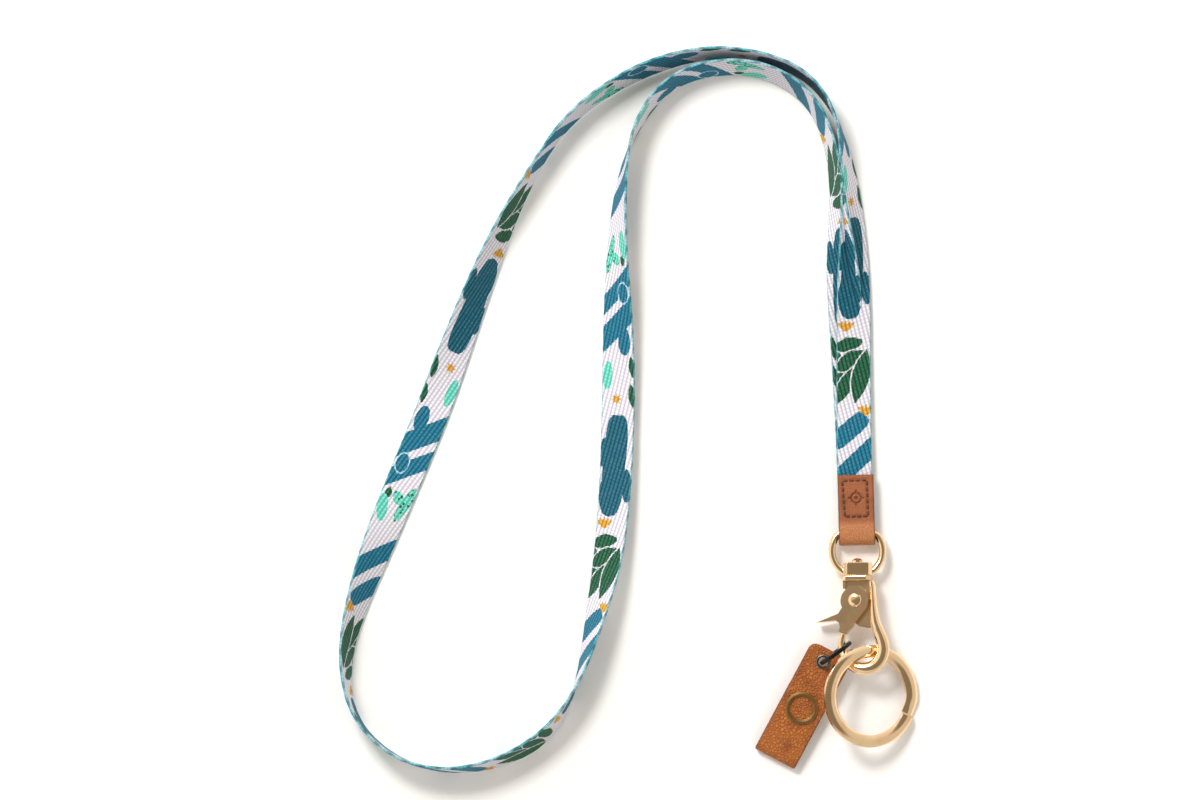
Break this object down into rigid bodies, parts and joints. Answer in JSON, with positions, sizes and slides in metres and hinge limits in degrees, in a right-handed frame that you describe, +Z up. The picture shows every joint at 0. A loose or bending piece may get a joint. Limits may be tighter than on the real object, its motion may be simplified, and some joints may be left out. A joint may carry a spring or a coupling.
{
  "type": "neck lanyard",
  "caption": "Printed webbing neck lanyard with a leather end tab, swivel trigger hook, split key ring and snap-closed leather keeper.",
  "frame": {"origin": "underside of the leather end tab, at the middle of its length and width", "axes": "+Z up, -Z out of the tab's back face; +Y along the tab towards the webbing; the hardware lies towards -Y"},
  "size_m": [0.1979, 0.2486, 0.0159],
  "materials": {
    "webbing": "printed twill",
    "tab_leather": "smooth",
    "keeper_leather": "pebbled",
    "thread": "waxed thread",
    "gold_plate": "polished light gold plating",
    "spring_steel": "drawn wire",
    "black_steel": "black oxide",
    "nickel": "dark nickel",
    "antique_brass": "antique"
  },
  "bodies": {
    "tab": {"strap": "webbing", "end_tab": "tab_leather", "tab_needle_thread": "thread", "tab_bobbin_thread": "thread"},
    "eye": {"swivel_eye": "gold_plate"},
    "hook": {"hook_body": "gold_plate", "swivel_stud": "gold_plate", "lever_rivet": "gold_plate", "lever_spring": "spring_steel"},
    "lever": {"trigger_lever": "gold_plate"},
    "key_ring": {"key_ring": "gold_plate"},
    "keeper_ring": {"keeper_ring": "black_steel"},
    "keeper": {"keeper_front": "keeper_leather", "keeper_eyelet": "nickel", "eyelet_washer": "nickel", "snap_cap": "antique_brass", "snap_socket": "antique_brass"},
    "flap": {"keeper_flap": "keeper_leather", "snap_stud": "antique_brass", "snap_back": "antique_brass"}
  },
  "joints": [
    {"name": "eye_swing", "type": "hinge", "parent": "tab", "child": "eye", "pos_m": [0.00034, -0.0081, 0.00302], "axis": [1, 0, 0], "range_deg": [-90, 60]},
    {"name": "hook_swivel", "type": "hinge", "parent": "eye", "child": "hook", "pos_m": [0.00034, -0.02239, 0.00483], "axis": [0, 0.9921, -0.1253], "continuous": true},
    {"name": "lever_press", "type": "hinge", "parent": "hook", "child": "lever", "pos_m": [-0.00012, -0.03084, 0.00577], "axis": [-0.2689, 0.1207, 0.9556], "range_deg": [0, 22], "stiffness_Nm_per_rad": 0.02, "springref_deg": -14.32},
    {"name": "key_ring_turn", "type": "hinge", "parent": "hook", "child": "key_ring", "pos_m": [0.0048, -0.0635, 0.00805], "axis": [0.4067, 0, 0.9135], "continuous": true},
    {"name": "keeper_ring_swing", "type": "hinge", "parent": "hook", "child": "keeper_ring", "pos_m": [-0.00486, -0.04737, 0.00652], "axis": [-0.2018, 0.963, -0.1785], "range_deg": [-25, 25]},
    {"name": "keeper_swing", "type": "hinge", "parent": "keeper_ring", "child": "keeper", "pos_m": [-0.01134, -0.05186, 0.00432], "axis": [-0.0164, -0.0308, 0.9994], "range_deg": [-60, 8]},
    {"name": "flap_open", "type": "hinge", "parent": "keeper", "child": "flap", "pos_m": [-0.02712, -0.08344, 0.00007], "axis": [0.8829, -0.4695, 0], "range_deg": [-110, 0]}
  ]
}
